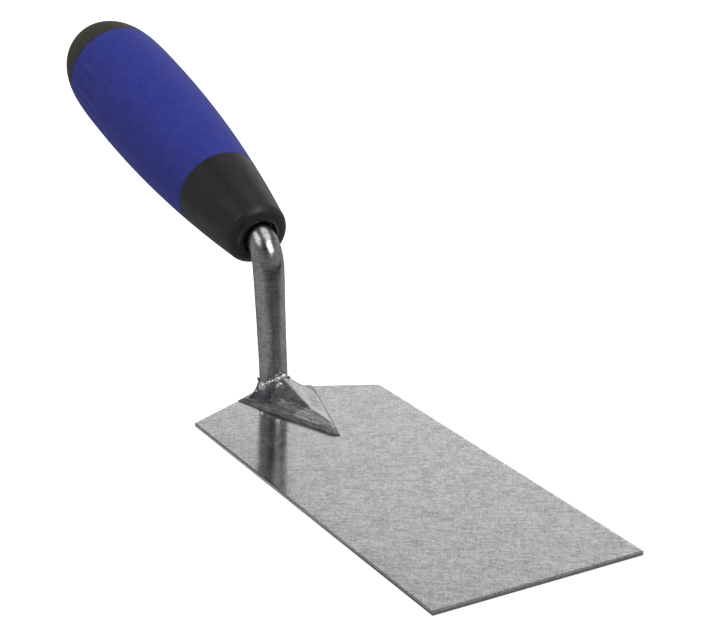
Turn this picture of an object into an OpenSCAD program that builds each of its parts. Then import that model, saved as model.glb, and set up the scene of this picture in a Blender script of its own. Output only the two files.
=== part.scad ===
// Margin trowel: a flat five-sided blade, a foot welded over its heel, a bent round shank
// and a two-material handle with an end cap.
// The origin is the middle of the blade's flat underside. The blade's tip points along +X,
// the handle runs back along -X and upwards, and Z is up.

/* [Blade] */
// Length of the blade from the point of its heel to its front edge
blade_len = 136.8; // [100:0.1:200]
// Width of the blade
blade_w = 60; // [40:0.5:100]
// Thickness of the blade
blade_t = 1; // [0.8:0.05:2]
// How far the heel's point stands behind the two back corners
heel_depth = 14.5; // [6:0.5:25]
// Rounding of the two front corners
front_round = 0.5; // [0.5:0.1:5]
// Rounding of the heel's three corners
heel_round = 0.5; // [0.3:0.1:4]

/* [Foot] */
// Length of the foot from the heel's point to its front tip
foot_len = 42.5; // [30:0.5:55]
// Width of the foot across the heel
foot_w = 24; // [18:0.5:32]
// Thickness of the foot's flange
flange_t = 1.5; // [0.5:0.1:2]
// Width of the bare flange beside the pyramid
flange_lip = 1.3; // [0.6:0.1:2.5]
// Length of the bare flange in front of the pyramid
flange_nose = 14; // [4:0.5:14]
// Height of the foot along the shank
foot_h = 5; // [4:0.1:10]
// Flat land round the shank on top of the foot
land_w = 1.1; // [0.6:0.1:1.5]
// How far the ridge's upper end stands in front of the land
ridge_reach = 1.2; // [0.4:0.1:2.5]
// Leg of the weld fillets along the foot's front edges
edge_weld = 0.7; // [0.4:0.1:1.5]
// Bare edge left past each end of those fillets
edge_bare = 1.5; // [1:0.1:4]
// Leg of the ring weld where the shank enters the foot
ring_weld = 1.6; // [0.8:0.1:2.2]

/* [Shank] */
// Diameter of the shank bar where it stands in the foot
bar_d = 8.2; // [6:0.1:10]
// Diameter of the bar at its bend, where it is forged thicker
neck_d = 9.1; // [6:0.1:12]
// Least wall between the shank and the heel's edges
heel_wall = 0.7; // [0.4:0.1:3]
// Backward lean of the upright
lean = 4.5; // [0:0.5:10]
// Height along the upright from the blade to the handle's axis
shank_h = 43.6; // [30:0.1:70]
// Rise of the handle's axis above the blade
handle_rise = 16.2; // [5:0.1:30]
// Radius of the bend, at the bar's centre
bend_r = 9.5; // [7:0.1:16]
// How much smaller the tang's radius is, which leaves the shoulder that bears on the core
tang_step = 0.2; // [0.2:0.05:1]
// Solid wall of the core left between the tang's end and the end cap's pocket
tang_wall = 16.4; // [4:0.1:40]
// Number of retaining grooves round the tang
groove_count = 4; // [2:1:6]
// Width of a retaining groove
groove_w = 2; // [1:0.1:3]
// Depth of a retaining groove
groove_d = 0.6; // [0.3:0.1:1]

/* [Handle] */
// Length of the handle
handle_len = 124.8; // [110:0.1:150]
// Largest radius of the handle
grip_r = 16.35; // [14:0.05:20]
// Distance from the front face to the thickest place
belly_at = 85; // [70:1:95]
// Radius that the body line runs down to at the front face
nose_r = 9; // [8.4:0.1:12]
// Rounding of the front face's rim
nose_round = 3.4; // [1:0.1:3.6]
// Gap between the shank and the wall of the recess round it
mouth_gap = 1.1; // [0.8:0.1:2]
// Depth of that recess, down to the floor that the shank's shoulder bears on
mouth_depth = 1.9; // [1:0.1:4]
// How square the tail's shoulder is
tail_power = 3.7; // [2:0.1:5]
// How blunt the tail's end is
tail_root = 2.2; // [1.8:0.1:3]
// Length of the hard collar left bare at the front
collar_len = 27; // [15:0.5:40]
// Length of the end cap from its seam to its tip
cap_len = 20.3; // [14:0.1:28]
// Wall of the soft sleeve
sleeve_t = 3; // [1.5:0.1:4]
// Radius of the end cap's plug
plug_r = 8; // [5:0.1:9]
// Length of the end cap's plug
plug_len = 10; // [6:0.5:14]
// Clearance round the plug and past its end
plug_fit = 0.1; // [0.05:0.05:0.3]
// Clearance round the tang in its bore
tang_fit = 0.05; // [0.05:0.05:0.2]

/* [Hidden] */
$fn = 96;

ARC_STEPS = 6;       // steps round one corner of the blade
NOSE_STEPS = 6;      // steps round the handle's front rim
BODY_STEPS = 12;     // steps along a stretch of the handle's side
TAIL_STEPS = 16;     // steps round the tail
SKIN = 0.02;         // thickness of the thin slabs that a blended solid spans
OVER = 1;            // how far a cutter runs past the face it opens

tip_x = blade_len / 2;
heel_x = -blade_len / 2;
corner_x = heel_x + heel_depth;
bar_r = bar_d / 2;
neck_r = neck_d / 2;
swell_from = foot_h + ring_weld + OVER;
heel_slope = atan2(heel_depth, blade_w / 2);
shank_x = heel_x + (bar_r + heel_wall) / cos(heel_slope);
bend_angle = 90 - lean - handle_rise;
bend_run = bend_r * tan(bend_angle / 2);
nose_gap = bend_run - mouth_depth;
mouth_r = neck_r + mouth_gap;
cap_at = handle_len - cap_len;
tang_r = bar_r - tang_step;
tang_len = cap_at - plug_len - plug_fit - tang_wall;
foot_corner_x = heel_x + heel_depth * foot_w / blade_w;
foot_tip_x = heel_x + foot_len;
foot_slope = atan2(foot_w / 2, foot_tip_x - foot_corner_x);
groove_pitch = (tang_len - mouth_depth) / (groove_count + 1);

// The blade's outline, from the heel's point round by its right side
blade_corners = [
    [heel_x, 0],
    [corner_x, -blade_w / 2],
    [tip_x, -blade_w / 2],
    [tip_x, blade_w / 2],
    [corner_x, blade_w / 2]
];
blade_rounds = [heel_round, heel_round, front_round, front_round, heel_round];

// Points of one corner rounded to a radius: q is the corner, p and r its neighbours
function unit(v) = v / norm(v);
function rounded(p, q, r, radius) =
    let (
        u = unit(p - q),
        v = unit(r - q),
        half = acos(u * v) / 2,
        middle = q + unit(u + v) * radius / sin(half),
        from = q + u * radius / tan(half) - middle,
        to = q + v * radius / tan(half) - middle,
        a0 = atan2(from.y, from.x),
        turn = atan2(from.x * to.y - from.y * to.x, from * to)
    )
    [for (i = [0 : ARC_STEPS]) let (a = a0 + turn * i / ARC_STEPS) middle + radius * [cos(a), sin(a)]];

function rounded_outline(points, radii) =
    let (n = len(points))
    [for (i = [0 : n - 1]) each rounded(points[(i + n - 1) % n], points[i], points[(i + 1) % n], radii[i])];

// The foot's outline, drawn in by a lip at its sides and by a nose at its tip
function foot_outline(lip, nose) = [
    [heel_x + lip, 0],
    [foot_corner_x + lip, -foot_w / 2 + lip],
    [foot_tip_x - nose, 0],
    [foot_corner_x + lip, foot_w / 2 - lip]
];

// Radius of the handle's side at a distance from its front face
function side_r(s) = s < belly_at
    ? grip_r - (grip_r - nose_r) * pow((belly_at - s) / belly_at, 2)
    : grip_r * pow(1 - pow(min(1, (s - belly_at) / (handle_len - belly_at)), tail_power), 1 / tail_root);

// Points of the handle's side, set in by an inset, from one distance to another
function side(from, to, inset = 0) =
    [for (i = [0 : BODY_STEPS]) let (s = from + (to - from) * i / BODY_STEPS) [side_r(s) - inset, s]];

// Points of the rounded front rim
nose_rim = [for (i = [0 : NOSE_STEPS - 1])
    let (a = 90 * i / NOSE_STEPS)
    [side_r(nose_round) - nose_round * (1 - sin(a)), nose_round * (1 - cos(a))]];

// Points of the tail, closer together towards its end
tail = [for (i = [0 : TAIL_STEPS])
    let (s = cap_at + (handle_len - cap_at) * sin(90 * i / TAIL_STEPS))
    [side_r(s), s]];

// Place on the blade with Z along the upright
module at_shank() {
    translate([shank_x, 0, blade_t])
        rotate([0, -lean, 0])
            children();
}

// Place on the handle's front face with Z along the handle's axis
module at_handle() {
    at_shank()
        translate([0, 0, shank_h])
            rotate([0, -bend_angle, 0])
                translate([0, 0, nose_gap])
                    children();
}

// Flat spring-steel blade
module blade() {
    color([0.68, 0.68, 0.68])
        linear_extrude(blade_t)
            polygon(rounded_outline(blade_corners, blade_rounds));
}

// Outline of the foot's top, with a point in front where the ridge starts
module foot_top_outline() {
    land_r = bar_r + land_w;
    circle(r = land_r, $fn = 32);
    polygon([[0, -land_r * 0.7], [land_r + ridge_reach, 0], [0, land_r * 0.7]]);
}

// Pyramid-shaped foot on a flange, bored for the shank
module foot() {
    color([0.42, 0.42, 0.42])
        difference() {
            translate([0, 0, blade_t]) {
                linear_extrude(flange_t)
                    polygon(foot_outline(0, 0));
                translate([0, 0, flange_t - SKIN])
                    foot_pyramid();
            }
            at_shank()
                translate([0, 0, -foot_h])
                    cylinder(h = 3 * foot_h, r = bar_r);
        }
}

// The four faces that run up from the flange to the land round the shank
module foot_pyramid() {
    hull() {
        linear_extrude(SKIN)
            polygon(foot_outline(flange_lip, flange_nose));
        translate([shank_x, 0, SKIN - flange_t])
            rotate([0, -lean, 0])
                translate([0, 0, foot_h - SKIN])
                    linear_extrude(SKIN)
                        foot_top_outline();
    }
}

// Fillet of weld along one front edge of the foot; side is -1 on the right and 1 on the left
module edge_fillet(side) {
    run = norm([foot_tip_x - foot_corner_x, foot_w / 2]);
    color([0.36, 0.36, 0.36])
        translate([foot_corner_x, side * foot_w / 2, blade_t])
            rotate([0, 0, -side * foot_slope])
                translate([edge_bare, 0, 0])
                    rotate([90, 0, 90])
                        linear_extrude(run - 2 * edge_bare)
                            polygon([[0, 0], [side * edge_weld, 0], [0, edge_weld]]);
}

module foot_weld_left() {
    edge_fillet(1);
}

module foot_weld_right() {
    edge_fillet(-1);
}

// Ring of weld between the shank and the foot's land
module shank_weld() {
    color([0.5, 0.5, 0.5])
        at_shank()
            translate([0, 0, foot_h])
                rotate_extrude()
                    polygon([
                        [bar_r, 0],
                        [bar_r + land_w, 0],
                        [bar_r + land_w * 0.8, ring_weld * 0.5],
                        [bar_r, ring_weld]
                    ]);
}

// The bar outside the handle: the upright, which starts below the blade's face and thickens
// above the foot, and the bend
module upright_and_bend() {
    upright = shank_h - bend_run;
    translate([0, 0, -upright - bar_d])
        cylinder(h = bar_d + swell_from, r = bar_r);
    translate([0, 0, swell_from - upright])
        cylinder(h = upright - swell_from, r1 = bar_r, r2 = neck_r);
    translate([-bend_r, 0, 0])
        rotate([90, 0, 0])
            rotate_extrude(angle = bend_angle)
                translate([bend_r, 0])
                    circle(r = neck_r);
}

// The tang, which starts inside the bend, with its ring grooves
module tang() {
    difference() {
        translate([0, 0, mouth_depth - OVER])
            cylinder(h = tang_len - mouth_depth + OVER, r = tang_r);
        for (i = [1 : groove_count])
            translate([0, 0, mouth_depth + groove_pitch * i - groove_w / 2])
                rotate_extrude()
                    translate([tang_r - groove_d, 0])
                        square([groove_d + OVER, groove_w]);
    }
}

// Round bar: the upright, the bend and the tang inside the handle
module shank() {
    color([0.5, 0.5, 0.5])
        difference() {
            union() {
                at_shank()
                    translate([0, 0, shank_h - bend_run])
                        upright_and_bend();
                at_handle()
                    tang();
            }
            translate([shank_x, 0, blade_t - 2 * bar_d])
                cylinder(h = 2 * bar_d, r = 2 * bar_d);
        }
}

// Hard core: the bare collar in front and the waist under the sleeve
module handle_core() {
    color([0.17, 0.17, 0.17])
        at_handle()
            difference() {
                rotate_extrude()
                    polygon(concat(
                        [[0, 0]],
                        nose_rim,
                        side(nose_round, collar_len),
                        side(collar_len, cap_at, sleeve_t),
                        [[0, cap_at]]
                    ));
                translate([0, 0, -OVER])
                    cylinder(h = mouth_depth + OVER, r = mouth_r);
                translate([0, 0, mouth_depth - OVER])
                    cylinder(h = tang_len - mouth_depth + OVER, r = tang_r + tang_fit);
                translate([0, 0, cap_at - plug_len - plug_fit])
                    cylinder(h = plug_len + plug_fit + OVER, r = plug_r + plug_fit);
            }
}

// Soft sleeve moulded over the core's waist
module grip_sleeve() {
    waist = side(collar_len, cap_at, sleeve_t);
    color([0.2, 0.24, 0.53])
        at_handle()
            rotate_extrude()
                polygon(concat(
                    side(collar_len, cap_at),
                    [for (i = [len(waist) - 1 : -1 : 0]) waist[i]]
                ));
}

// Domed end cap with the plug that holds it in the core
module end_cap() {
    color([0.27, 0.26, 0.24])
        at_handle() {
            rotate_extrude()
                polygon(concat([[0, cap_at]], tail));
            translate([0, 0, cap_at - plug_len])
                cylinder(h = plug_len + SKIN, r = plug_r);
        }
}

blade();
foot();
foot_weld_left();
foot_weld_right();
shank_weld();
shank();
handle_core();
grip_sleeve();
end_cap();
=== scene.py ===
"""Margin trowel: the finished pieces and the studio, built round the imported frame.

Pieces are modelled in millimetres, in the frame of the blade, the shank or the handle,
and turned to metres in the row frame when they are finished.
"""

import logging
import math
from dataclasses import dataclass, replace
from enum import Enum
from functools import cached_property
from typing import Callable

import bmesh
import bpy
from mathutils import Matrix, Quaternion, Vector, noise


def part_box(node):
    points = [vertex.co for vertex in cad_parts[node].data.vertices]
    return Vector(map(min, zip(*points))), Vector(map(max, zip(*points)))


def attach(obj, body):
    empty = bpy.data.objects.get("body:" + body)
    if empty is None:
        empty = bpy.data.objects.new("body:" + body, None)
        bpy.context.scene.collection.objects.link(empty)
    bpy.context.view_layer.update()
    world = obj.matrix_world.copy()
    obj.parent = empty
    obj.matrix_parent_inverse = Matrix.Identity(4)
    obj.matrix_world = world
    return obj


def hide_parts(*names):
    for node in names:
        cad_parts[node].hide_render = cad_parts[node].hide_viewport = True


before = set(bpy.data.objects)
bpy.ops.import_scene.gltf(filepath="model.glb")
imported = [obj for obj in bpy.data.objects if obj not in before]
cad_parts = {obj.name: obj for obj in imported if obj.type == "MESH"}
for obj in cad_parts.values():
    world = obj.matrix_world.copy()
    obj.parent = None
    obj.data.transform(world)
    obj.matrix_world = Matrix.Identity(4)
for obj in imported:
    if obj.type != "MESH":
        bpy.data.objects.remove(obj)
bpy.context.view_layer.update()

MM = 0.001
LOG = logging.getLogger("margin_trowel")

Rgba = tuple[float, float, float, float]
WHITE: Rgba = (1.0, 1.0, 1.0, 1.0)
# Gives a point of a ring from its angle round the ring, in radians.
Place = Callable[[float], Vector]


# ---- shared sizes


@dataclass(frozen=True)
class Layout:
    """Sizes that several pieces share, in millimetres, and the places they give.

    The blade's own corners come from the frame; the rest are the tool's driving sizes.
    """

    heel_depth: float = 14.5
    foot_h: float = 5.0
    bar_d: float = 8.2
    tang_step: float = 0.2
    neck_d: float = 9.1
    swell_from: float = 7.6
    heel_wall: float = 0.7
    lean: float = 4.5
    shank_h: float = 43.6
    handle_rise: float = 16.2
    bend_r: float = 9.5
    mouth_depth: float = 1.9

    @cached_property
    def low(self) -> Vector:
        """Lowest corner of the blade."""
        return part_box("blade")[0] / MM

    @cached_property
    def high(self) -> Vector:
        """Highest corner of the blade."""
        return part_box("blade")[1] / MM

    @property
    def top(self) -> float:
        """Height of the blade's upper face."""
        return self.high.z

    @property
    def half_w(self) -> float:
        """Half of the blade's width."""
        return self.high.y

    @property
    def tip_x(self) -> float:
        """Place of the blade's front edge."""
        return self.high.x

    @property
    def heel_x(self) -> float:
        """Place of the heel's point before it is rounded."""
        return -self.tip_x

    @property
    def bar_r(self) -> float:
        """Radius of the shank bar."""
        return self.bar_d / 2

    @property
    def neck_r(self) -> float:
        """Radius of the bar at its bend."""
        return self.neck_d / 2

    @property
    def bend_angle(self) -> float:
        """Angle, in degrees, that the bar turns through at its bend."""
        return 90.0 - self.lean - self.handle_rise

    @property
    def bend_run(self) -> float:
        """Distance from the crossing of the two axes to either end of the bend."""
        return self.bend_r * math.tan(math.radians(self.bend_angle) / 2)

    @cached_property
    def at_shank(self) -> Matrix:
        """Place the shank's own frame on the blade.

        Returns:
            The frame, with Z along the upright.
        """
        slope = math.atan2(self.heel_depth, self.half_w)
        inset = (self.bar_r + self.heel_wall) / math.cos(slope)
        turn = Matrix.Rotation(math.radians(-self.lean), 4, "Y")
        return Matrix.Translation((self.heel_x + inset, 0, self.top)) @ turn

    @cached_property
    def at_handle(self) -> Matrix:
        """Place the handle's own frame on its front face.

        Returns:
            The frame, with Z along the handle's axis and X on its upper side.
        """
        turn = Matrix.Rotation(math.radians(-self.bend_angle), 4, "Y")
        rise = Matrix.Translation((0, 0, self.shank_h))
        nose = Matrix.Translation((0, 0, self.bend_run - self.mouth_depth))
        return self.at_shank @ rise @ turn @ nose


LAYOUT = Layout()


# ---- finishes


def linear(code: str) -> Rgba:
    """Turn an sRGB hex colour into linear light.

    Args:
        code: Six hex digits, such as "34406f".

    Returns:
        Red, green, blue and an alpha of one.
    """
    channels = [int(code[i : i + 2], 16) / 255 for i in (0, 2, 4)]
    light = [c / 12.92 if c <= 0.04045 else ((c + 0.055) / 1.055) ** 2.4 for c in channels]
    return (light[0], light[1], light[2], 1.0)


def add_node(
    tree: bpy.types.NodeTree, kind: str, inputs: dict[str | int, object] | None = None, **settings: object
) -> bpy.types.Node:
    """Add a node with its settings, its input values and its links.

    Args:
        tree: The node tree that takes the node.
        kind: Blender's name for the node's type.
        inputs: Input name or index to a value, or to an output socket to link from.
        settings: The node's own properties.

    Returns:
        The new node.
    """
    node = tree.nodes.new(kind)
    for key, value in settings.items():
        setattr(node, key, value)
    for key, value in (inputs or {}).items():
        if isinstance(value, bpy.types.NodeSocket):
            tree.links.new(value, node.inputs[key])
        else:
            node.inputs[key].default_value = value
    return node


class Grain(Enum):
    """Which way a surface's marks run, as the stretch of a pattern along X, Y and Z."""

    EVEN = (1.0, 1.0, 1.0)
    ALONG_X = (0.12, 1.0, 1.0)
    SHORT_X = (0.35, 1.0, 1.0)
    ROUND_Z = (0.15, 0.15, 1.0)


# A noise pattern's mean, and the strength of each finer octave against the one before.
MEAN = 0.5
OCTAVE_SHARE = 0.55

# How far the blotches shift the tone, and the range of theirs that the roughness follows.
BLOTCH_SHIFT = 0.6
BLOTCH_LOW, BLOTCH_HIGH = 0.3, 0.7
SHEEN_ROUGHNESS = 0.5


@dataclass(frozen=True)
class Marks:
    """One layer of marks on a surface.

    Attributes:
        size_mm: Width of a mark across its grain.
        grain: Which way the marks run.
        turn: Turn of the pattern about Z, in degrees.
        detail: Octaves of finer marks inside each mark.
        swirl: How far the marks bend round one another.
    """

    size_mm: float
    grain: Grain = Grain.EVEN
    turn: float = 0.0
    detail: float = 2.0
    swirl: float = 0.0

    def add(self, tree: bpy.types.NodeTree, coords: bpy.types.NodeSocket) -> bpy.types.NodeSocket:
        """Add the layer's noise to a tree.

        Args:
            tree: The material's node tree.
            coords: The Object coordinates.

        Returns:
            The layer's value, near 0.5 on average.
        """
        per_metre = 1.0 / (self.size_mm * MM)
        turn = {"Vector": coords, "Rotation": (0.0, 0.0, math.radians(self.turn))}
        turned = add_node(tree, "ShaderNodeMapping", turn, vector_type="TEXTURE").outputs["Vector"]
        stretch = {"Vector": turned, "Scale": tuple(s * per_metre for s in self.grain.value)}
        scaled = add_node(tree, "ShaderNodeMapping", stretch).outputs["Vector"]
        marks = {
            "Vector": scaled, "Scale": 1.0, "Detail": self.detail, "Roughness": OCTAVE_SHARE,
            "Distortion": self.swirl,
        }
        return add_node(tree, "ShaderNodeTexNoise", marks).outputs["Fac"]


@dataclass(frozen=True)
class Finish:
    """A surface: two tones, their marks, and how it shines.

    Attributes:
        name: The material's name.
        dark: sRGB hex of the darker tone.
        light: sRGB hex of the lighter tone.
        metallic: Share of metal, 0 or 1.
        rough_low: Roughness where the surface is smoothest.
        rough_high: Roughness where it is dullest.
        tone: Marks that mix the two tones.
        blotch: Large soft marks that shift tone and roughness.
        relief: Marks that stand in relief.
        relief_mm: Height of the relief.
        contrast: How strongly the marks mix the tones.
        specular: Specular level of a surface that isn't metal.
        sheen: Weight of the soft sheen of rubber.
    """

    name: str
    dark: str
    light: str
    metallic: float
    rough_low: float
    rough_high: float
    tone: tuple[Marks, ...]
    blotch: Marks
    relief: Marks
    relief_mm: float
    contrast: float = 2.0
    specular: float = 0.5
    sheen: float = 0.0

    def material(self) -> bpy.types.Material:
        """Make the node material.

        Returns:
            The material, made once for each finish.
        """
        made = bpy.data.materials.get(self.name)
        if made:
            return made
        made = bpy.data.materials.new(self.name)
        made.use_nodes = True
        tree = made.node_tree
        shader = tree.nodes["Principled BSDF"]
        coords = add_node(tree, "ShaderNodeTexCoord").outputs["Object"]
        value = self.tone[0].add(tree, coords)
        for layer in self.tone[1:]:
            other = layer.add(tree, coords)
            value = add_node(tree, "ShaderNodeMath", {0: value, 1: other}, operation="ADD").outputs[0]
            value = add_node(tree, "ShaderNodeMath", {0: value, 1: MEAN}, operation="SUBTRACT").outputs[0]
        broad = self.blotch.add(tree, coords)
        reach = MEAN / self.contrast
        strong = {"Value": value, "From Min": MEAN - reach, "From Max": MEAN + reach}
        spread = add_node(tree, "ShaderNodeMapRange", strong).outputs["Result"]
        shift = {0: broad, 1: BLOTCH_SHIFT, 2: spread}
        shifted = add_node(tree, "ShaderNodeMath", shift, operation="MULTIPLY_ADD").outputs[0]
        centre = {0: shifted, 1: BLOTCH_SHIFT * MEAN}
        mixed = add_node(tree, "ShaderNodeMath", centre, operation="SUBTRACT", use_clamp=True).outputs[0]
        tones = {"Factor": mixed, "A": linear(self.dark), "B": linear(self.light)}
        colour = add_node(tree, "ShaderNodeMix", tones, data_type="RGBA")
        gloss = {
            "Value": broad, "From Min": BLOTCH_LOW, "From Max": BLOTCH_HIGH,
            "To Min": self.rough_low, "To Max": self.rough_high,
        }
        rough = add_node(tree, "ShaderNodeMapRange", gloss).outputs["Result"]
        height = {"Height": self.relief.add(tree, coords), "Strength": 1.0, "Distance": self.relief_mm * MM}
        bump = add_node(tree, "ShaderNodeBump", height)
        tree.links.new(colour.outputs["Result"], shader.inputs["Base Color"])
        tree.links.new(rough, shader.inputs["Roughness"])
        tree.links.new(bump.outputs["Normal"], shader.inputs["Normal"])
        shader.inputs["Metallic"].default_value = self.metallic
        if not self.metallic:
            shader.inputs["Specular IOR Level"].default_value = self.specular
            shader.inputs["Sheen Weight"].default_value = self.sheen
            shader.inputs["Sheen Roughness"].default_value = SHEEN_ROUGHNESS
        return made


# Carbon steel, ground flat on a belt: short crossing strokes over a soft mirror.
# The strokes are drawn 0.5 mm wide, coarser than real grit marks, so that they show.
GROUND_STEEL = Finish(
    name="ground_carbon_steel",
    dark="a0a0a0", light="e0e0e0", metallic=1.0, rough_low=0.12, rough_high=0.17,
    tone=(
        Marks(0.5, Grain.ALONG_X, 60.0, swirl=0.8),
        Marks(0.55, Grain.SHORT_X, 25.0, swirl=1.4),
        Marks(0.7, Grain.SHORT_X, -35.0, swirl=1.6),
    ),
    blotch=Marks(6.0), relief=Marks(0.5, Grain.ALONG_X, 60.0), relief_mm=0.0015, contrast=1.7,
)

# The same sheet on its long edges, dressed on the wheel: a flat light grey with no metal's mirror. The light
# grey is painted reflection, in place of the bright surroundings that the steel edges mirror.
LONG_EDGE_PAINTED_REFLECTION = Finish(
    name="long_edge_painted_reflection",
    dark="bcbcbc", light="e0e0e0", metallic=0.0, rough_low=0.5, rough_high=0.6,
    tone=(Marks(0.5),), blotch=Marks(5.0), relief=Marks(0.3), relief_mm=0.01,
)

# The same flat grey on the front edge, where the sheet was sheared and torn: a step darker than its sides,
# painted shade for the dim surroundings in front.
FRONT_EDGE_PAINTED_SHADE = replace(
    LONG_EDGE_PAINTED_REFLECTION, name="front_edge_painted_shade", dark="8e8e8e", light="b8b8b8", relief_mm=0.02
)

# Mild-steel bar polished round its girth: fine rings and soft dark scale from the bending heat.
# The rings are drawn 0.5 mm wide, coarser than real polishing marks, so that they show.
DRAWN_STEEL = Finish(
    name="drawn_steel_bar",
    dark="8e8e8e", light="c8c8c8", metallic=1.0, rough_low=0.22, rough_high=0.3,
    tone=(Marks(0.5, Grain.ROUND_Z), Marks(0.8)), blotch=Marks(4.0),
    relief=Marks(0.6, Grain.ROUND_Z), relief_mm=0.008, contrast=1.4,
)

# Pressed steel with a thin grey scale from the weld's heat: a dull, dark, uneven mirror.
SCALED_STEEL = Finish(
    name="pressed_steel_heat_scaled",
    dark="6a6a6a", light="b4b4b4", metallic=1.0, rough_low=0.3, rough_high=0.4,
    tone=(Marks(0.4, Grain.ALONG_X, 20.0), Marks(0.9)), blotch=Marks(3.0),
    relief=Marks(0.6), relief_mm=0.02, contrast=1.5,
)

# A brighter copy of the same steel, under the same marks: painted reflection of the bright surroundings, on
# the faces that mirror them.
FOOT_PAINTED_REFLECTION = replace(SCALED_STEEL, name="pressed_steel_painted_reflection", dark="a8a8a8", light="ececec")

# Weld metal left as it froze: smooth glossy lumps with dark slag between them.
WELD_METAL = Finish(
    name="frozen_weld_metal",
    dark="5a5a5a", light="b4b4b4", metallic=1.0, rough_low=0.24, rough_high=0.36,
    tone=(Marks(0.8),), blotch=Marks(2.0), relief=Marks(0.7), relief_mm=0.08, contrast=2.4,
)

# Drops of the same weld metal, frozen clean and round, so they flash white under a lamp.
WELD_DROPS = Finish(
    name="bright_weld_drops",
    dark="e0e0e0", light="fafafa", metallic=1.0, rough_low=0.34, rough_high=0.42,
    tone=(Marks(0.6),), blotch=Marks(1.5), relief=Marks(0.5), relief_mm=0.03, contrast=1.6,
)

# Black polypropylene from a satin mould: a soft highlight and faint flow marks.
BLACK_POLYPROPYLENE = Finish(
    name="moulded_black_polypropylene",
    dark="242424", light="333333", metallic=0.0, rough_low=0.38, rough_high=0.48,
    tone=(Marks(0.6), Marks(2.5)), blotch=Marks(7.0), relief=Marks(0.35), relief_mm=0.01,
    contrast=1.5, specular=0.4,
)

# Blue thermoplastic rubber: matte and slightly powdery, evenly coloured through.
BLUE_RUBBER = Finish(
    name="blue_thermoplastic_rubber",
    dark="363ca0", light="424cb8", metallic=0.0, rough_low=0.6, rough_high=0.72,
    tone=(Marks(0.5), Marks(3.0)), blotch=Marks(12.0), relief=Marks(0.4), relief_mm=0.012,
    contrast=1.3, specular=0.3, sheen=0.04,
)

# Charcoal thermoplastic rubber of the cap, a shade warmer than the collar.
CHARCOAL_RUBBER = Finish(
    name="charcoal_thermoplastic_rubber",
    dark="383529", light="4a493c", metallic=0.0, rough_low=0.58, rough_high=0.7,
    tone=(Marks(0.5), Marks(2.0)), blotch=Marks(8.0), relief=Marks(0.4), relief_mm=0.012,
    contrast=1.4, specular=0.3, sheen=0.04,
)


# ---- mesh helpers


# An edge that turns more than this is drawn crisp.
SHARP = math.radians(32)
# Points closer than this are one point.
DOUBLES_MM = 1e-4


def finish_piece(
    bm: bmesh.types.BMesh, name: str, place: Matrix, finishes: list[Finish], node: str
) -> bpy.types.Object:
    """Turn a mesh into a finished piece that rides on the trowel.

    Args:
        bm: The mesh, in millimetres, in its own frame. It is freed.
        name: The piece's name.
        place: Its frame, with its place in millimetres.
        finishes: Its materials, in the order of its faces' indices.
        node: The CAD node that it stands for.

    Returns:
        The linked object.
    """
    bmesh.ops.remove_doubles(bm, verts=bm.verts, dist=DOUBLES_MM)
    bmesh.ops.recalc_face_normals(bm, faces=bm.faces)
    bmesh.ops.transform(bm, matrix=Matrix.Scale(MM, 4) @ place, verts=bm.verts)
    for edge in bm.edges:
        edge.smooth = len(edge.link_faces) == 2 and edge.calc_face_angle(0.0) < SHARP
    for face in bm.faces:
        face.smooth = True
    mesh = bpy.data.meshes.new(name)
    bm.to_mesh(mesh)
    open_edges = sum(1 for edge in bm.edges if len(edge.link_faces) != 2)
    bm.free()
    for finish in finishes:
        mesh.materials.append(finish.material())
    piece = bpy.data.objects.new(name, mesh)
    bpy.context.scene.collection.objects.link(piece)
    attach(piece, "root")
    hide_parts(node)
    LOG.info("%s: %d faces, %d open edges", name, len(mesh.polygons), open_edges)
    return piece


class Loft:
    """A skin drawn ring by ring: each ring is the last one, extruded and moved to its place."""

    def __init__(self, sides: int) -> None:
        """Start with a loose ring.

        Args:
            sides: Number of points in each ring.
        """
        self.bm = bmesh.new()
        self.turn = self.bm.verts.layers.float.new("turn")
        self.ring_verts = bmesh.ops.create_circle(self.bm, segments=sides, radius=1.0)["verts"]
        for vert in self.ring_verts:
            vert[self.turn] = math.atan2(vert.co.y, vert.co.x)
        self.first_edges = list(self.bm.edges)
        self.ring_edges = self.first_edges
        self.started = False

    def ring(self, place: Place) -> None:
        """Add a ring.

        Args:
            place: Gives a point's place from its angle round the ring, in radians.
        """
        if self.started:
            grown = bmesh.ops.extrude_edge_only(self.bm, edges=self.ring_edges)["geom"]
            self.ring_verts = [g for g in grown if isinstance(g, bmesh.types.BMVert)]
            fresh = set(self.ring_verts)
            self.ring_edges = [
                g for g in grown
                if isinstance(g, bmesh.types.BMEdge) and g.verts[0] in fresh and g.verts[1] in fresh
            ]
        self.started = True
        for vert in self.ring_verts:
            vert.co = place(vert[self.turn])

    def join_ends(self) -> None:
        """Bridge the last ring to the first, for a piece with a hole through it."""
        bmesh.ops.bridge_loops(self.bm, edges=self.first_edges + self.ring_edges)

    def cap_ends(self) -> None:
        """Fill the first and the last ring."""
        for edges in (self.first_edges, self.ring_edges):
            bmesh.ops.contextual_create(self.bm, geom=edges)


def turned(profile: list[tuple[float, float]], steps: int) -> bmesh.types.BMesh:
    """Spin a profile about Z.

    Args:
        profile: Radius and height of each point, in order; a closed solid's profile starts
            and ends on the axis or at the same point.
        steps: Number of steps round the axis.

    Returns:
        The new mesh.
    """
    bm = bmesh.new()
    verts = [bm.verts.new((radius, 0.0, height)) for radius, height in profile]
    edges = [bm.edges.new(pair) for pair in zip(verts, verts[1:])]
    bmesh.ops.spin(
        bm, geom=verts + edges, axis=(0, 0, 1), cent=(0, 0, 0), angle=math.tau, steps=steps, use_merge=True
    )
    return bm


def blend_between(low: float, high: float, value: float) -> float:
    """Smooth step from 0 at low to 1 at high."""
    share = min(1.0, max(0.0, (value - low) / (high - low)))
    return share * share * (3 - 2 * share)


def bell(value: float, width: float) -> float:
    """Smooth hump: 1 at zero, fading over a width to either side."""
    return math.exp(-((value / width) ** 2))


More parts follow.
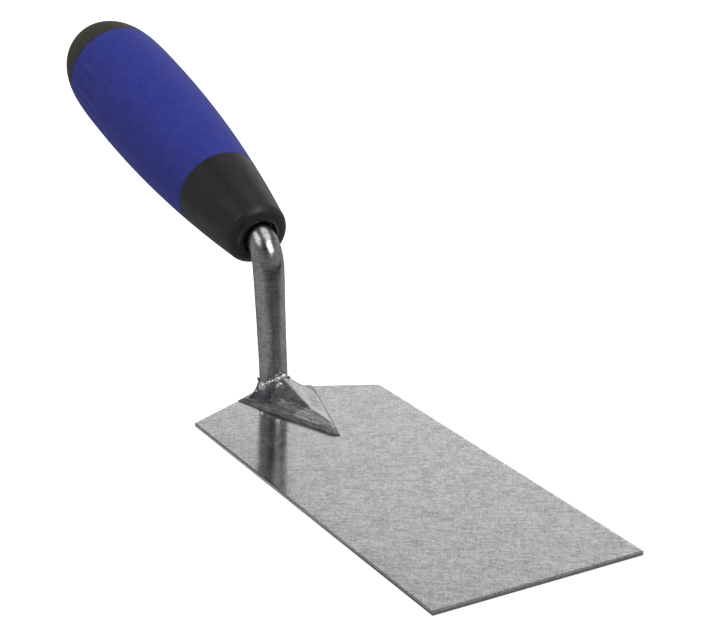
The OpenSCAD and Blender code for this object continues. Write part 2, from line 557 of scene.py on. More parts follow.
def around(turn: float, radius: float, height: float = 0.0) -> Vector:
    """Point at an angle round Z, a radius out and a height up."""
    return Vector((radius * math.cos(turn), radius * math.sin(turn), height))


@dataclass(frozen=True)
class Lumps:
    """Smooth lumps and dips.

    Attributes:
        height: Height of a lump, in millimetres or as a share of what it swells.
        size: Width of a lump, in millimetres.
        seed: Picks the pattern.
    """

    height: float
    size: float
    seed: float

    def at(self, point: Vector) -> float:
        """Height at a point: up to about the lumps' height, above or below nothing."""
        shift = Vector((self.seed, self.seed * 0.7, -self.seed))
        return self.height * noise.noise(point / self.size + shift)


# ---- blade


@dataclass
class Blade:
    """The flat five-sided blade.

    The last three sizes are limits on a face's normal: they tell the flats, the edges and the
    front edge apart.
    """

    front_round: float = 0.5
    heel_round: float = 0.5
    rim_bevel: float = 0.08
    rim_inset: float = 0.5
    undercut: float = 0.25
    corner_segments: int = 6
    rim_segments: int = 2
    face_area: float = 100.0
    level: float = 0.999
    leaning: float = 0.95
    forward: float = 0.9

    def mesh(self) -> bmesh.types.BMesh:
        """Draw the outline, round its corners, give it its thickness and ease its rims.

        Returns:
            The mesh, with the long edges as finish 1 and the front edge as finish 2.
        """
        bm = bmesh.new()
        corner_x = LAYOUT.heel_x + LAYOUT.heel_depth
        outline = [
            (LAYOUT.heel_x, 0.0), (corner_x, -LAYOUT.half_w), (LAYOUT.tip_x, -LAYOUT.half_w),
            (LAYOUT.tip_x, LAYOUT.half_w), (corner_x, LAYOUT.half_w),
        ]
        verts = [bm.verts.new((x, y, LAYOUT.low.z)) for x, y in outline]
        bm.faces.new(verts)
        heel_corners = [verts[0], verts[1], verts[4]]
        for corners, radius in ((verts[2:4], self.front_round), (heel_corners, self.heel_round)):
            bmesh.ops.bevel(
                bm, geom=corners, offset=radius, affect="VERTICES", segments=self.corner_segments,
                profile=0.5, material=-1,
            )
        grown = bmesh.ops.extrude_face_region(bm, geom=list(bm.faces))["geom"]
        raised = [g for g in grown if isinstance(g, bmesh.types.BMVert)]
        bmesh.ops.translate(bm, verts=raised, vec=(0, 0, LAYOUT.top - LAYOUT.low.z))
        bmesh.ops.recalc_face_normals(bm, faces=bm.faces)
        rims = [e for e in bm.edges if abs(e.verts[0].co.z - e.verts[1].co.z) < DOUBLES_MM]
        bmesh.ops.bevel(
            bm, geom=rims, offset=self.rim_bevel, affect="EDGES", segments=self.rim_segments,
            profile=0.5, material=-1,
        )
        flats = [f for f in bm.faces if abs(f.normal.z) > self.level and f.calc_area() > self.face_area]
        bmesh.ops.inset_region(bm, faces=flats, thickness=self.rim_inset, use_even_offset=True)
        for vert in bm.verts:
            if abs(vert.co.y) > LAYOUT.half_w - 2 * self.rim_bevel:
                vert.co.y -= math.copysign(self.undercut * (1 - vert.co.z / LAYOUT.top), vert.co.y)
        bm.normal_update()
        # Edge faces turned forward take the darker grey of painted shade; the other edge faces take the light
        # grey of painted reflection.
        for face in bm.faces:
            if abs(face.normal.z) < self.leaning:
                face.material_index = 2 if face.normal.x > self.forward else 1
        return bm

    def build(self) -> None:
        """Make the blade."""
        finish_piece(
            self.mesh(), "blade_sheet", Matrix.Identity(4), [GROUND_STEEL, LONG_EDGE_PAINTED_REFLECTION, FRONT_EDGE_PAINTED_SHADE],
            "blade",
        )


# ---- foot


@dataclass(frozen=True)
class Contour:
    """One contour line of the foot's plate.

    Attributes:
        lip: How far the line is drawn in from the outline at the sides.
        nose: How far it is drawn in at the tip.
        side_h: Its height above the blade along the front edges.
        crest_h: Its height at the tip.
    """

    lip: float
    nose: float
    side_h: float
    crest_h: float


@dataclass
class Foot:
    """The pyramid-shaped foot on its chamfered plate, and the fillets along its front edges.

    The contours run in from the outline: a leaning wall, a ledge, a step and the plate's top.
    """

    length: float = 41.7
    width: float = 24.0
    skew: float = 1.1
    contours: tuple[Contour, ...] = (
        Contour(0.0, 0.0, 0.0, 0.0),
        Contour(0.0, 0.0, 0.3, 0.2),
        Contour(0.45, 1.2, 0.95, 0.75),
        Contour(0.8, 2.6, 1.45, 1.35),
        Contour(0.9, 3.0, 1.54, 1.5),
        Contour(1.2, 4.2, 1.58, 1.95),
        Contour(1.28, 4.7, 1.98, 2.1),
        Contour(1.36, 5.2, 2.04, 2.18),
        Contour(1.6, 8.0, 2.08, 2.4),
        Contour(1.75, 11.5, 2.1, 2.45),
        Contour(1.9, 15.0, 2.15, 2.45),
    )
    crest_share: float = 0.1
    thin_from: float = 0.6
    corner_share: float = 0.42
    smooth_below: float = 0.5
    plate_lumps: Lumps = Lumps(0.06, 1.8, 6.0)
    flank_lumps: Lumps = Lumps(0.12, 3.0, 4.0)
    nose_x: float = -43.0
    wall_h: float = 1.2
    land_w: float = 0.35
    rim_drop: float = 0.8
    ridge_h: float = 1.9
    ridge_spread: float = math.radians(30)
    ridge_straight: float = math.radians(12)
    ridge_ease: float = 0.14
    ridge_ease_w: float = math.radians(2)
    hollow: float = 1.5
    bore_floor: float = 0.3
    rings: int = 14
    sides: int = 160
    weld_leg: float = 0.45
    weld_bare: float = 1.5
    weld_thin: float = 0.15
    weld_taper: float = 0.25
    weld_sag: float = 0.12
    weld_lumps: Lumps = Lumps(0.22, 1.3, 9.0)
    weld_steps: int = 90
    weld_sides: int = 12

    @property
    def tip_x(self) -> float:
        """Place of the foot's front tip."""
        return LAYOUT.heel_x + self.length

    @property
    def corner_x(self) -> float:
        """Place of the foot's two side corners, on the heel's edges."""
        return LAYOUT.heel_x + LAYOUT.heel_depth * self.width / (2 * LAYOUT.half_w)

    def ridge_y(self, x: float) -> float:
        """Place of the skewed ridge across the blade, at a place along it."""
        return self.skew * (x - self.corner_x) / (self.tip_x - self.corner_x)

    def plate(self, turn: float, line: Contour) -> Vector:
        """Point of a kite-shaped contour of the plate, which thins towards the heel's corners.

        Args:
            turn: Angle round the foot, 0 at the front tip.
            line: The contour.

        Returns:
            The point.
        """
        share = abs(turn) / (math.pi / 2)
        corner = Vector((self.corner_x + line.lip, math.copysign(self.width / 2 - line.lip, turn), 0))
        if share <= 1:
            point = Vector((self.tip_x - line.nose, 0, 0)).lerp(corner, share)
        else:
            point = corner.lerp(Vector((LAYOUT.heel_x + line.lip, 0, 0)), share - 1)
        crest = bell(share, self.crest_share)
        thin = 1 - (1 - self.corner_share) * blend_between(self.thin_from, 1.0, share)
        point.y += self.ridge_y(point.x)
        point.z = LAYOUT.top + line.crest_h * crest + line.side_h * thin * (1 - crest)
        if line.side_h > self.smooth_below:
            point.z += self.plate_lumps.at(point)
        return point

    def collar(self, turn: float, radius: float, height: float) -> Vector:
        """Point of a circle round the shank, at a height along it."""
        return LAYOUT.at_shank @ around(turn, radius, height)

    def land_height(self, turn: float) -> float:
        """Height of the foot's upper rim along the shank: highest where the ridge meets it."""
        return LAYOUT.foot_h - self.rim_drop + self.ridge_h * bell(turn, self.ridge_spread)

    def flank(self, turn: float, share: float) -> Vector:
        """Point of the pyramid's flank.

        Args:
            turn: Angle round the foot.
            share: 0 on the plate and 1 on the rim round the shank.

        Returns:
            The point: straight down the ridge and hollow between.
        """
        base = self.plate(turn, self.contours[-1])
        rim = self.collar(turn, LAYOUT.bar_r + self.land_w, self.land_height(turn))
        point = base.lerp(rim, share)
        power = 1 + (self.hollow - 1) * (1 - bell(turn, self.ridge_straight))
        point.z = base.z + (rim.z - base.z) * share**power
        point.z += math.sin(math.pi * share) * self.flank_lumps.at(point)
        point.z -= self.ridge_ease * bell(turn, self.ridge_ease_w)
        return point

    def mesh(self) -> bmesh.types.BMesh:
        """Draw the plate, the flanks, the land and the bore as rings.

        Returns:
            The mesh, with the brighter steel of painted reflection as finish 1.
        """
        loft = Loft(self.sides)
        for line in self.contours:
            loft.ring(lambda a, line=line: self.plate(a, line))
        for step in range(1, self.rings + 1):
            loft.ring(lambda a, share=step / self.rings: self.flank(a, share))
        loft.ring(lambda a: self.collar(a, LAYOUT.bar_r, self.land_height(a)))
        loft.ring(lambda a: self.collar(a, LAYOUT.bar_r, self.bore_floor))
        loft.join_ends()
        # Faces on the plate's nose and the left-hand flank take the brighter steel, painted reflection.
        for face in loft.bm.faces:
            face.material_index = int(self.takes_painted_reflection(face.calc_center_median()))
        return loft.bm

    def takes_painted_reflection(self, point: Vector) -> bool:
        """Whether a point takes the brighter steel of painted reflection: on the plate's nose and on the
        left-hand flank.
        """
        above = point.z - LAYOUT.top
        return above > self.wall_h and (point.x > self.nose_x or point.y > self.ridge_y(point.x))

    def edge_weld(self, side: int) -> bmesh.types.BMesh:
        """Draw one lumpy fillet.

        Args:
            side: 1 for the left edge and -1 for the right.

        Returns:
            The mesh, in the blade's frame.
        """
        tip = Vector((self.tip_x, self.skew, LAYOUT.top))
        corner = Vector((self.corner_x, side * self.width / 2, LAYOUT.top))
        along = (tip - corner).normalized()
        out = side * Vector((along.y, along.x, 0))
        run = (tip - corner).length - 2 * self.weld_bare
        lumps = replace(self.weld_lumps, seed=self.weld_lumps.seed + side)
        loft = Loft(self.weld_sides)
        for step in range(self.weld_steps + 1):
            share = step / self.weld_steps
            centre = corner + along * (self.weld_bare + run * share)
            ease = math.sin(math.pi * share) ** self.weld_taper
            leg = self.weld_leg * (self.weld_thin + (1 - self.weld_thin) * ease) * (1 + lumps.at(centre))
            loft.ring(lambda a, c=centre, g=leg: c + self.fillet_point(a, g, out))
        loft.cap_ends()
        return loft.bm

    def fillet_point(self, turn: float, leg: float, out: Vector) -> Vector:
        """Point of a fillet's section: two flat legs and a slightly hollow face.

        Args:
            turn: Angle round the section.
            leg: Length of each leg.
            out: Direction of the leg on the blade, away from the foot and a little back.

        Returns:
            The point, from the corner between blade and foot.
        """
        share = (turn % math.tau) / math.tau * 3
        if share < 1:
            return out * (leg * share)
        if share < 2:
            up = share - 1
            sag = self.weld_sag * leg * math.sin(math.pi * up)
            return out * (leg * (1 - up) - sag) + Vector((0, 0, leg * up - sag))
        return Vector((0, 0, leg * (3 - share)))

    def build(self) -> None:
        """Make the foot and its two fillets."""
        finish_piece(
            self.mesh(), "heel_foot", Matrix.Identity(4), [SCALED_STEEL, FOOT_PAINTED_REFLECTION], "foot"
        )
        for side, name in ((1, "left"), (-1, "right")):
            finish_piece(
                self.edge_weld(side), f"foot_fillet_{name}", Matrix.Identity(4), [SCALED_STEEL],
                f"foot_weld_{name}",
            )


# ---- shank


@dataclass(frozen=True)
class Drop:
    """A drop of weld metal, frozen on the ring of weld.

    Attributes:
        turn: Bearing round the shank, in degrees from the blade's tip.
        height: Height above the foot's rim, in millimetres.
        reach: Distance from the shank's axis.
        length: Length of the drop.
        width: Width of the drop.
        tilt: Angle of its length from level, in degrees.
    """

    turn: float
    height: float
    reach: float
    length: float
    width: float
    tilt: float


@dataclass
class Shank:
    """The bent round bar and the ring of weld where it enters the foot.

    The worked sizes say how much rougher the bar is just past the start of its bend.
    """

    tang_len: float = 78.0
    tang_ease: float = 0.4
    groove_count: int = 4
    groove_w: float = 2.0
    groove_d: float = 0.6
    groove_ease: float = 0.1
    swell_power: float = 1.6
    sides: int = 72
    ring_step: float = 0.9
    bend_steps: int = 36
    dent_mm: float = 0.045
    dents_round: float = 2.2
    dent_len: float = 7.0
    worked_more: float = 1.3
    worked_at: float = 4.0
    worked_len: float = 6.0
    worked_fade: float = 0.6
    weld_steps: int = 160
    weld_leg: float = 0.4
    weld_root: float = 0.3
    weld_rim: float = 0.1
    weld_skirt: float = 0.8
    weld_sunk: float = 0.35
    face_steps: int = 10
    lump_stretch: float = 0.8
    broad_lumps: Lumps = Lumps(0.35, 1.5, 3.0)
    fine_lumps: Lumps = Lumps(0.21, 0.8, 7.0)
    height_lumps: Lumps = Lumps(0.25, 2.2, 5.0)
    drop_lumps: Lumps = Lumps(0.22, 0.6, 2.0)
    drop_flat: float = 0.9
    drops: tuple[Drop, ...] = (
        Drop(-64, -1.0, 5.35, 1.9, 3.2, 10),
        Drop(-78, -2.6, 6.5, 2.0, 1.7, 40),
        Drop(-50, -2.0, 5.8, 1.4, 1.2, 0),
        Drop(-46, 0.0, 4.8, 1.6, 1.4, 0),
        Drop(-34, 0.1, 4.8, 1.3, 1.2, 0),
        Drop(-15, -0.2, 5.0, 2.6, 1.7, 24),
        Drop(4, -0.1, 5.1, 2.6, 1.8, 26),
        Drop(-13, -1.8, 6.3, 2.8, 1.7, 38),
        Drop(-56, -2.8, 6.7, 1.6, 0.9, 0),
        Drop(70, 0.1, 4.5, 1.8, 1.0, -10),
        Drop(112, -0.1, 4.5, 1.4, 1.2, 15),
        Drop(158, 0.1, 4.5, 2.0, 1.0, 5),
        Drop(-160, -0.2, 4.5, 1.5, 1.1, -12),
        Drop(-124, 0.1, 4.5, 1.7, 0.9, 8),
    )

    @property
    def bend_start(self) -> float:
        """Height along the upright where the bend starts."""
        return LAYOUT.shank_h - LAYOUT.bend_run

    def dent(self, turn: float, run: float) -> float:
        """Unevenness of the bar's surface: long shallow flats, and more of them at the bend.

        Args:
            turn: Angle round the bar.
            run: Distance along the bar.

        Returns:
            Change of radius.
        """
        past_start = run - self.bend_start - self.worked_at
        worked = 1 + self.worked_more * bell(past_start, self.worked_len)
        return self.dent_mm * worked * noise.noise(around(turn, self.dents_round, run / self.dent_len))

    def section(self, middle: Matrix, radius: float, run: float = 0.0, dented: float = 1.0) -> Place:
        """Describe one ring of the bar.

        Args:
            middle: Frame at the ring's middle, with Z along the bar.
            radius: Its radius.
            run: Distance along the bar.
            dented: Share of the bar's unevenness that it has.

        Returns:
            The ring's place function.
        """
        return lambda turn: middle @ around(turn, radius + dented * self.dent(turn, run))

    def tang_profile(self) -> list[tuple[float, float]]:
        """Work out the tang with its retaining grooves.

        Returns:
            Distance from the handle's front face and radius of each ring.
        """
        tang_r = LAYOUT.bar_r - LAYOUT.tang_step
        groove_r = tang_r - self.groove_d
        pitch = (self.tang_len - LAYOUT.mouth_depth) / (self.groove_count + 1)
        stations = [(LAYOUT.mouth_depth, tang_r)]
        for groove in range(1, self.groove_count + 1):
            middle = LAYOUT.mouth_depth + pitch * groove
            low, high = middle - self.groove_w / 2, middle + self.groove_w / 2
            stations += [(low, tang_r), (low + self.groove_ease, groove_r)]
            stations += [(high - self.groove_ease, groove_r), (high, tang_r)]
        return [*stations, (self.tang_len - self.tang_ease, tang_r), (self.tang_len, tang_r - self.tang_ease)]

    def mesh(self) -> bmesh.types.BMesh:
        """Draw the upright, the bend and the grooved tang as rings.

        Returns:
            The mesh, in the shank's frame.
        """
        loft = Loft(self.sides)
        slope = math.tan(math.radians(LAYOUT.lean))
        r = LAYOUT.bar_r
        loft.ring(lambda a: around(a, r, -r * math.cos(a) * slope))
        count = round(self.bend_start / self.ring_step)
        for step in range(1, count):
            height = self.bend_start * step / count
            swell = max(0.0, (height - LAYOUT.swell_from) / (self.bend_start - LAYOUT.swell_from))
            radius = r + (LAYOUT.neck_r - r) * swell**self.swell_power
            loft.ring(self.section(Matrix.Translation((0, 0, height)), radius, height))
        hub = Matrix.Translation((-LAYOUT.bend_r, 0, self.bend_start))
        for step in range(self.bend_steps + 1):
            share = step / self.bend_steps
            angle = math.radians(LAYOUT.bend_angle) * share
            middle = hub @ Matrix.Rotation(-angle, 4, "Y") @ Matrix.Translation((LAYOUT.bend_r, 0, 0))
            run = self.bend_start + angle * LAYOUT.bend_r
            loft.ring(self.section(middle, LAYOUT.neck_r, run, 1 - share * self.worked_fade))
        to_handle = LAYOUT.at_shank.inverted() @ LAYOUT.at_handle
        for height, radius in self.tang_profile():
            middle = to_handle @ Matrix.Translation((0, 0, height))
            loft.ring(self.section(middle, radius, dented=0.0))
        loft.cap_ends()
        return loft.bm

    def ring_weld(self, foot: Foot) -> bmesh.types.BMesh:
        """Spin a hollow fillet round the shank, roughen it and add its frozen drops.

        Args:
            foot: The foot that the weld runs round, for the height of its rim.

        Returns:
            The mesh, in the shank's frame.
        """
        r, leg = LAYOUT.bar_r, self.weld_leg
        root, rim = r - self.weld_root, r + self.weld_rim
        arc = [math.radians(90 * i / self.face_steps) for i in range(self.face_steps + 1)]
        face = [(rim + leg * (1 - math.sin(a)), leg * (1 - math.cos(a))) for a in arc]
        low = (root, -self.weld_skirt)
        bm = turned([low, (rim, -self.weld_skirt), *face, (root, leg), low], self.weld_steps)
        for vert in bm.verts:
            turn = math.atan2(vert.co.y, vert.co.x)
            reach = math.hypot(vert.co.x, vert.co.y) - r
            spot = Vector((vert.co.x, vert.co.y, vert.co.z * self.lump_stretch))
            if reach > 0:
                swell = 1 + self.broad_lumps.at(spot) + self.fine_lumps.at(spot)
                keep = (r + reach * swell) / (r + reach)
                vert.co.x *= keep
                vert.co.y *= keep
            vert.co.z += foot.land_height(turn) - self.weld_sunk + self.height_lumps.at(spot)
        for drop in self.drops:
            self.add_drop(bm, drop, foot)
        return bm

    def add_drop(self, bm: bmesh.types.BMesh, drop: Drop, foot: Foot) -> None:
        """Add one frozen drop to the weld.

        Args:
            bm: The weld's mesh.
            drop: The drop.
            foot: The foot, for the height of its rim.
        """
        turn = math.radians(drop.turn)
        place = (
            Matrix.Rotation(turn, 4, "Z")
            @ Matrix.Translation((drop.reach, 0, foot.land_height(turn) + drop.height))
            @ Matrix.Rotation(math.radians(drop.tilt), 4, "X")
            @ Matrix.Diagonal((drop.width / 2 * self.drop_flat, drop.length / 2, drop.width / 2, 1))
        )
        made = bmesh.ops.create_icosphere(bm, subdivisions=3, radius=1.0, matrix=place)["verts"]
        for face in {face for vert in made for face in vert.link_faces}:
            face.material_index = 1
        centre = place.translation
        for vert in made:
            vert.co = centre + (vert.co - centre) * (1 + self.drop_lumps.at(vert.co))

    def build(self, foot: Foot) -> None:
        """Make the bar and its ring of weld, which follows the foot's rim."""
        finish_piece(self.mesh(), "shank_bar", LAYOUT.at_shank, [DRAWN_STEEL], "shank")
        finish_piece(
            self.ring_weld(foot), "shank_weld_bead", LAYOUT.at_shank, [WELD_METAL, WELD_DROPS],
            "shank_weld",
        )


# ---- handle


@dataclass
class Handle:
    """The core with its bare collar, the fluted sleeve and the end cap."""

    length: float = 124.8
    grip_r: float = 16.35
    belly_at: float = 85.0
    nose_r: float = 9.0
    nose_round: float = 3.4
    nose_steps: int = 12
    mouth_gap: float = 0.75
    mouth_cove: float = 0.4
    mouth_lip: float = 0.35
    mouth_lip_mid: float = 0.1
    bore_ease: float = 0.1
    tail_power: float = 3.7
    tail_root: float = 2.2
    collar_len: float = 27.0
    cap_len: float = 20.3
    sleeve_t: float = 3.0
    plug_r: float = 8.0
    plug_len: float = 10.0
    plug_ease: float = 0.5
    plug_fit: float = 0.1
    tang_wall: float = 16.4
    tang_fit: float = 0.05
    seam: float = 0.18
    side_step: float = 1.3
    steps: int = 120
    dome_steps: int = 40
    core_every: int = 6
    sleeve_every: int = 4
    flute_first: float = 58.0
    flute_pitch: float = 12.5
    flute_count: int = 6
    flute_depth: float = 0.34
    flute_start: float = 89.5
    flute_slant: float = 0.263
    flute_rise: tuple[float, float] = (-1.5, 4.0)
    flute_fall: tuple[float, float] = (5.0, 1.0)

    @property
    def cap_at(self) -> float:
        """Distance from the front face to the end cap's seam."""
        return self.length - self.cap_len

    def side_r(self, s: float) -> float:
        """Work out the radius of the handle's side.

        Args:
            s: Distance from the front face.

        Returns:
            The radius there.
        """
        if s < self.belly_at:
            return self.grip_r - (self.grip_r - self.nose_r) * ((self.belly_at - s) / self.belly_at) ** 2
        share = min(1.0, (s - self.belly_at) / (self.length - self.belly_at))
        return self.grip_r * max(0.0, 1 - share**self.tail_power) ** (1 / self.tail_root)

    def side(self, start: float, end: float, inset: float = 0.0) -> list[tuple[float, float]]:
        """Work out a stretch of the side's profile.

        Args:
            start: Distance from the front face where it starts.
            end: Distance where it ends.
            inset: How far it is set in from the side.

        Returns:
            Radius and distance of each point.
        """
        count = max(2, round((end - start) / self.side_step))
        places = [start + (end - start) * i / count for i in range(count + 1)]
        return [(self.side_r(s) - inset, s) for s in places]

    def seam_point(self, s: float) -> tuple[float, float]:
        """Profile point where a moulding's outside dips into the seam at a distance."""
        return (self.side_r(s) - self.seam, s)

    def waist(self, every: int) -> list[tuple[float, float]]:
        """Profile points where core and sleeve meet: one in every so many, and the last."""
        points = self.side(self.collar_len, self.cap_at, self.sleeve_t)[::every]
        return [*points, (self.side_r(self.cap_at) - self.sleeve_t, self.cap_at)]

    def core(self) -> bmesh.types.BMesh:
        """Turn the core: recess, front face, rim, collar, waist, cap pocket and tang bore.

        Returns:
            The mesh, in the handle's frame.
        """
        depth = LAYOUT.mouth_depth
        bore_r = LAYOUT.bar_r - LAYOUT.tang_step + self.tang_fit
        mouth_r = LAYOUT.neck_r + self.mouth_gap
        pocket_r = self.plug_r + self.plug_fit
        pocket_at = self.cap_at - self.plug_len - self.plug_fit
        bore_end = pocket_at - self.tang_wall
        rim_r = self.side_r(self.nose_round) - self.nose_round
        rim = [
            (rim_r + self.nose_round * math.sin(a), self.nose_round * (1 - math.cos(a)))
            for a in [math.radians(90 * i / self.nose_steps) for i in range(self.nose_steps + 1)]
        ]
        collar = self.side(self.nose_round, self.collar_len - self.seam)[1:]
        profile = [
            (0, bore_end), (bore_r, bore_end), (bore_r, depth + self.bore_ease),
            (bore_r + self.bore_ease, depth), (mouth_r - self.mouth_cove, depth),
            (mouth_r, depth - self.mouth_cove), (mouth_r, self.mouth_lip),
            (mouth_r + self.mouth_lip_mid, self.mouth_lip_mid), (mouth_r + self.mouth_lip, 0),
            *rim, *collar, self.seam_point(self.collar_len), *self.waist(self.core_every),
            (pocket_r, self.cap_at), (pocket_r, pocket_at), (0, pocket_at),
        ]
        return turned(profile, self.steps)

    def flute(self, turn: float, s: float) -> float:
        """Depth of the shallow flutes in the sleeve's back.

        Args:
            turn: Angle from the handle's upper side, in radians.
            s: Distance from the front face.

        Returns:
            The depth at that place.
        """
        angle = abs(math.degrees(turn))
        place = (angle - self.flute_first) / self.flute_pitch
        nearest = min(self.flute_count - 1, max(0, round(place)))
        across = abs(place - nearest) * 2
        if across >= 1:
            return 0.0
        centre = self.flute_first + nearest * self.flute_pitch
        start = self.flute_start - (centre - self.flute_first) * self.flute_slant
        rise = blend_between(start + self.flute_rise[0], start + self.flute_rise[1], s)
        fall = blend_between(self.cap_at - self.flute_fall[0], self.cap_at - self.flute_fall[1], s)
        return self.flute_depth * rise * (1 - fall) * math.cos(across * math.pi / 2) ** 2

    def sleeve(self) -> bmesh.types.BMesh:
        """Turn the sleeve and press the flutes into its back.

        Returns:
            The mesh, in the handle's frame.
        """
        outside = self.side(self.collar_len + self.seam, self.cap_at - self.seam)
        front, back = self.seam_point(self.collar_len), self.seam_point(self.cap_at)
        profile = [front, *outside, back, *reversed(self.waist(self.sleeve_every)), front]
        bm = turned(profile, 2 * self.steps)
        for vert in bm.verts:
            radius = math.hypot(vert.co.x, vert.co.y)
            if radius > self.side_r(vert.co.z) - self.sleeve_t / 2:
                shrink = 1 - self.flute(math.atan2(vert.co.y, vert.co.x), vert.co.z) / radius
                vert.co.x *= shrink
                vert.co.y *= shrink
        return bm

    def cap(self) -> bmesh.types.BMesh:
        """Turn the end cap: its plug, seam and dome.

        Returns:
            The mesh, in the handle's frame.
        """
        seam_at = self.cap_at + self.seam
        dome = []
        for i in range(self.dome_steps):
            s = seam_at + (self.length - seam_at) * math.sin(math.pi / 2 * i / self.dome_steps)
            dome.append((self.side_r(s), s))
        plug_at = self.cap_at - self.plug_len
        profile = [
            (0, plug_at), (self.plug_r - self.plug_ease, plug_at), (self.plug_r, plug_at + self.plug_ease),
            (self.plug_r, self.cap_at), self.seam_point(self.cap_at), *dome, (0, self.length),
        ]
        return turned(profile, self.steps)

    def build(self) -> None:
        """Make the core, the sleeve and the cap."""
        place = LAYOUT.at_handle
        finish_piece(
            self.core(), "handle_collar_and_core", place, [BLACK_POLYPROPYLENE], "handle_core"
        )
        finish_piece(self.sleeve(), "soft_grip", place, [BLUE_RUBBER], "grip_sleeve")
        finish_piece(self.cap(), "rounded_end_cap", place, [CHARCOAL_RUBBER], "end_cap")


# ---- studio


@dataclass(frozen=True)
class Softbox:
    """A square area light, placed by its bearing and height round the trowel.

    Attributes:
        name: The light's name.
        bearing: Compass bearing of the light seen from the trowel, as a view's azimuth.
        height: Elevation above the floor, in degrees.
        distance: Distance in metres.
        size: Side in metres.
        watts: Power.
    """

    name: str
    bearing: float
    height: float
    distance: float
    size: float
    watts: float

    def build(self, aim: Vector) -> None:
        """Make the light, pointed at the trowel and hidden from the camera.

        Args:
            aim: The point that it faces, in metres.
        """
        data = bpy.data.lights.new(self.name, "AREA")
        data.shape = "SQUARE"
        data.size = self.size
        data.energy = self.watts
        lamp = bpy.data.objects.new(self.name, data)
        back = direction(self.bearing, self.height)
        lamp.location = aim + back * self.distance
        lamp.rotation_mode = "QUATERNION"
        lamp.rotation_quaternion = (-back).to_track_quat("-Z", "Y")
        lamp.visible_camera = False
        bpy.context.scene.collection.objects.link(lamp)


def direction(azimuth: float, elevation: float) -> Vector:
    """Unit vector from the trowel towards a viewer at an azimuth and an elevation, in degrees."""
    a, e = math.radians(azimuth), math.radians(elevation)
    return Vector((math.sin(a) * math.cos(e), -math.cos(a) * math.cos(e), math.sin(e)))


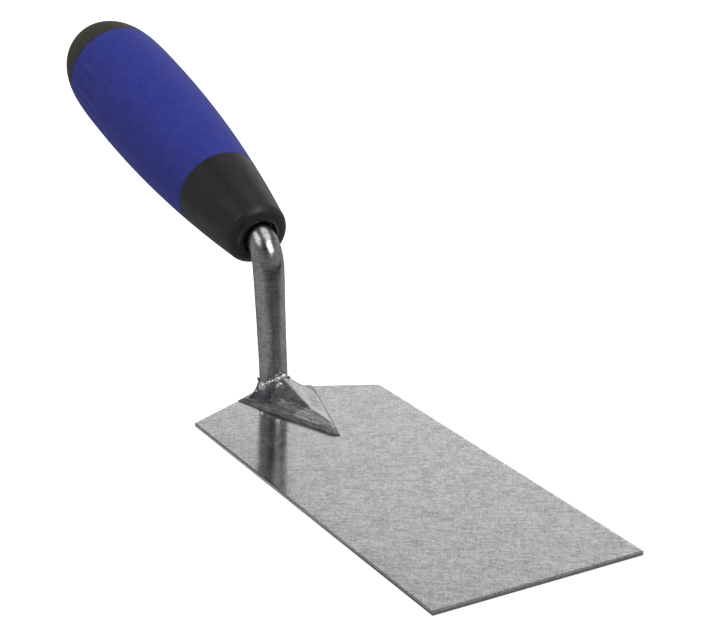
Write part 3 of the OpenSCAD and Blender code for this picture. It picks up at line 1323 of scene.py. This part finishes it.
@dataclass
class Studio:
    """The floor, the sky, the lights and the camera.

    A fade is where a bright patch of sky starts and where it is full, as cosines from its middle.
    """

    camera_mm: tuple[float, float, float] = (359.7, -221.64, 194.52)
    azimuth: float = 59.55
    elevation: float = 19.66
    roll: float = 0.51
    lens: float = 89.93
    sensor: float = 36.0
    nearest: float = 0.01
    aim_h_mm: float = 30.0
    floor_side: float = 12.0
    floor_drop_mm: float = 0.3
    floor_tone: str = "d2d2d2"
    # The front tone is painted shade: only reflections and bounce light see it.
    floor_front_shade_tone: str = "484848"
    floor_front_mm: tuple[float, float] = (-15.0, 50.0)
    floor_roughness: float = 0.9
    floor_specular: float = 0.1
    side_bright: float = 0.42
    front_bright: float = 0.26
    front_fade: tuple[float, float] = (0.1, 0.75)
    top_bright: float = 0.16
    top_fade: tuple[float, float] = (0.15, 0.65)
    back_bright: float = 0.98
    back_fade: tuple[float, float] = (0.88, 0.992)
    back_turn: float = -9.0
    back_height: float = 14.0
    boxes: tuple[Softbox, ...] = (
        Softbox("softbox_right", 105.0, 48.0, 1.1, 0.45, 3.8),
        Softbox("softbox_left", 0.0, 46.0, 1.1, 0.45, 1.5),
        Softbox("softbox_top", 160.0, 72.0, 1.4, 1.0, 3.5),
    )

    def camera(self) -> None:
        """Make the camera."""
        data = bpy.data.cameras.new("studio_camera")
        data.lens = self.lens
        data.sensor_width = self.sensor
        data.clip_start = self.nearest
        camera = bpy.data.objects.new("studio_camera", data)
        camera.location = Vector(self.camera_mm) * MM
        forward = -direction(self.azimuth, self.elevation)
        camera.rotation_mode = "QUATERNION"
        level = forward.to_track_quat("-Z", "Y")
        camera.rotation_quaternion = level @ Quaternion((0, 0, 1), math.radians(self.roll))
        bpy.context.scene.collection.objects.link(camera)
        bpy.context.scene.camera = camera

    def floor(self) -> None:
        """Make the plain pale floor just under the blade.

        It shows white to the camera. What the metal mirrors of it gets darker from about the blade's middle
        on, painted shade for the dim surroundings in front.
        """
        bm = bmesh.new()
        bmesh.ops.create_grid(bm, x_segments=1, y_segments=1, size=self.floor_side / 2)
        bmesh.ops.translate(bm, verts=bm.verts, vec=(0, 0, -self.floor_drop_mm * MM))
        mesh = bpy.data.meshes.new("studio_floor")
        bm.to_mesh(mesh)
        bm.free()
        paint = bpy.data.materials.new("matte_white_paper")
        paint.use_nodes = True
        tree = paint.node_tree
        shader = tree.nodes["Principled BSDF"]
        place = add_node(tree, "ShaderNodeTexCoord").outputs["Object"]
        along = add_node(tree, "ShaderNodeSeparateXYZ", {"Vector": place}).outputs["X"]
        near, far = (edge * MM for edge in self.floor_front_mm)
        run = {"Value": along, "From Min": near, "From Max": far}
        share = add_node(tree, "ShaderNodeMapRange", run, interpolation_type="SMOOTHSTEP").outputs["Result"]
        tones = {"Factor": share, "A": linear(self.floor_tone), "B": linear(self.floor_front_shade_tone)}
        tone = add_node(tree, "ShaderNodeMix", tones, data_type="RGBA")
        tree.links.new(tone.outputs["Result"], shader.inputs["Base Color"])
        shader.inputs["Roughness"].default_value = self.floor_roughness
        shader.inputs["Specular IOR Level"].default_value = self.floor_specular
        shader.inputs["Emission Color"].default_value = WHITE
        seen = add_node(tree, "ShaderNodeLightPath").outputs["Is Camera Ray"]
        tree.links.new(seen, shader.inputs["Emission Strength"])
        mesh.materials.append(paint)
        floor = bpy.data.objects.new("studio_floor", mesh)
        bpy.context.scene.collection.objects.link(floor)

    def sky(self) -> None:
        """Make the surroundings: a white wall behind the trowel, grey beside it, dim in front."""
        world = bpy.data.worlds.new("studio_surround")
        world.use_nodes = True
        bpy.context.scene.world = world
        tree = world.node_tree
        coords = add_node(tree, "ShaderNodeTexCoord").outputs["Generated"]
        patches = (
            (direction(self.azimuth, 0.0), self.front_fade, self.front_bright),
            (-direction(self.azimuth + self.back_turn, -self.back_height), self.back_fade, self.back_bright),
            (Vector((0, 0, 1)), self.top_fade, self.top_bright),
        )
        level = self.side_bright
        for towards, (low, high), bright in patches:
            pair = {0: coords, 1: tuple(towards)}
            facing = add_node(tree, "ShaderNodeVectorMath", pair, operation="DOT_PRODUCT").outputs["Value"]
            fade = {"Value": facing, "From Min": low, "From Max": high, "To Max": bright - self.side_bright}
            change = add_node(tree, "ShaderNodeMapRange", fade, interpolation_type="SMOOTHSTEP")
            terms = {0: level, 1: change.outputs["Result"]}
            level = add_node(tree, "ShaderNodeMath", terms, operation="ADD").outputs[0]
        seen = add_node(tree, "ShaderNodeLightPath").outputs["Is Camera Ray"]
        strength = add_node(tree, "ShaderNodeMath", {0: level, 1: seen}, operation="MAXIMUM").outputs[0]
        tree.links.new(strength, tree.nodes["Background"].inputs["Strength"])
        tree.nodes["Background"].inputs["Color"].default_value = WHITE

    def build(self) -> None:
        """Make the camera, the floor, the sky and the lights."""
        self.camera()
        self.floor()
        self.sky()
        aim = Vector((LAYOUT.heel_x, 0, self.aim_h_mm)) * MM
        for box in self.boxes:
            box.build(aim)
        bpy.context.scene.view_settings.view_transform = "Standard"


def main() -> None:
    """Build the trowel and its studio, and log each piece's faces and open edges."""
    logging.basicConfig(level=logging.INFO, format="%(name)s: %(message)s")
    Studio().build()
    Blade().build()
    foot = Foot()
    foot.build()
    Shank().build(foot)
    Handle().build()


if __name__ == "__main__":
    main()
